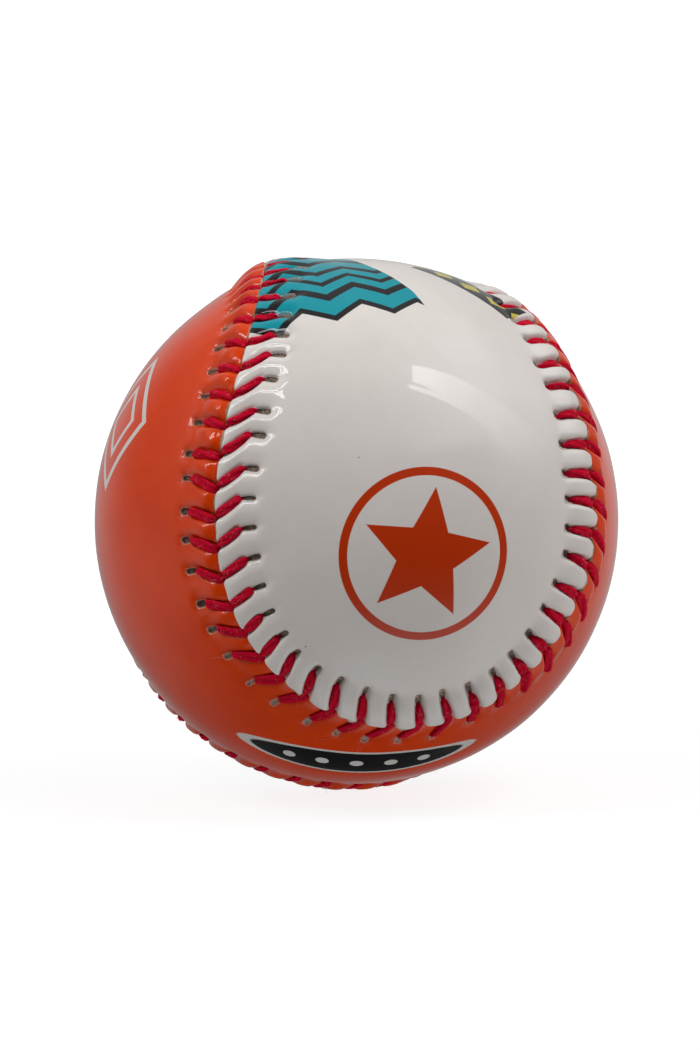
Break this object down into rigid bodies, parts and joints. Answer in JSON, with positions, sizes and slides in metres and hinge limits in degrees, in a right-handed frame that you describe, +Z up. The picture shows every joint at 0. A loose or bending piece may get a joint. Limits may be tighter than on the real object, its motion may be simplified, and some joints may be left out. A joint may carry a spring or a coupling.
{
  "type": "baseball",
  "caption": "Sewn ball with a cork and rubber core, wool and cotton windings, and a white and an orange cover panel joined by raised crimson V stitches.",
  "frame": {"origin": "centre of the ball", "axes": "+Z up as the ball lies in the picture, with the white neck on top; -Y towards the picture's camera, which a white lobe faces"},
  "size_m": [0.0728, 0.073, 0.0765],
  "materials": {
    "white_cover": "glossy coated synthetic leather, white",
    "orange_cover": "glossy coated synthetic leather, orange",
    "thread": "waxed multi-ply cotton thread, crimson",
    "cotton": "fine cotton yarn, wound, natural",
    "grey_wool": "wool yarn, wound, grey",
    "white_wool": "wool yarn, wound, off-white",
    "red_rubber": "moulded rubber, red, matte",
    "black_rubber": "moulded rubber, black, matte",
    "cork": "composition cork, granular"
  },
  "bodies": {
    "root": {"cork_pill": "cork", "pill_shell_upper": "black_rubber", "pill_shell_lower": "black_rubber", "pill_gasket": "red_rubber", "pill_jacket_upper": "red_rubber", "pill_jacket_lower": "red_rubber", "winding_1_grey_wool": "grey_wool", "winding_2_white_wool": "white_wool", "winding_3_grey_wool": "grey_wool", "winding_4_cotton": "cotton", "cover_panel_white": "white_cover", "cover_panel_orange": "orange_cover", "stitch_thread_a": "thread", "stitch_thread_b": "thread"}
  },
  "joints": []
}
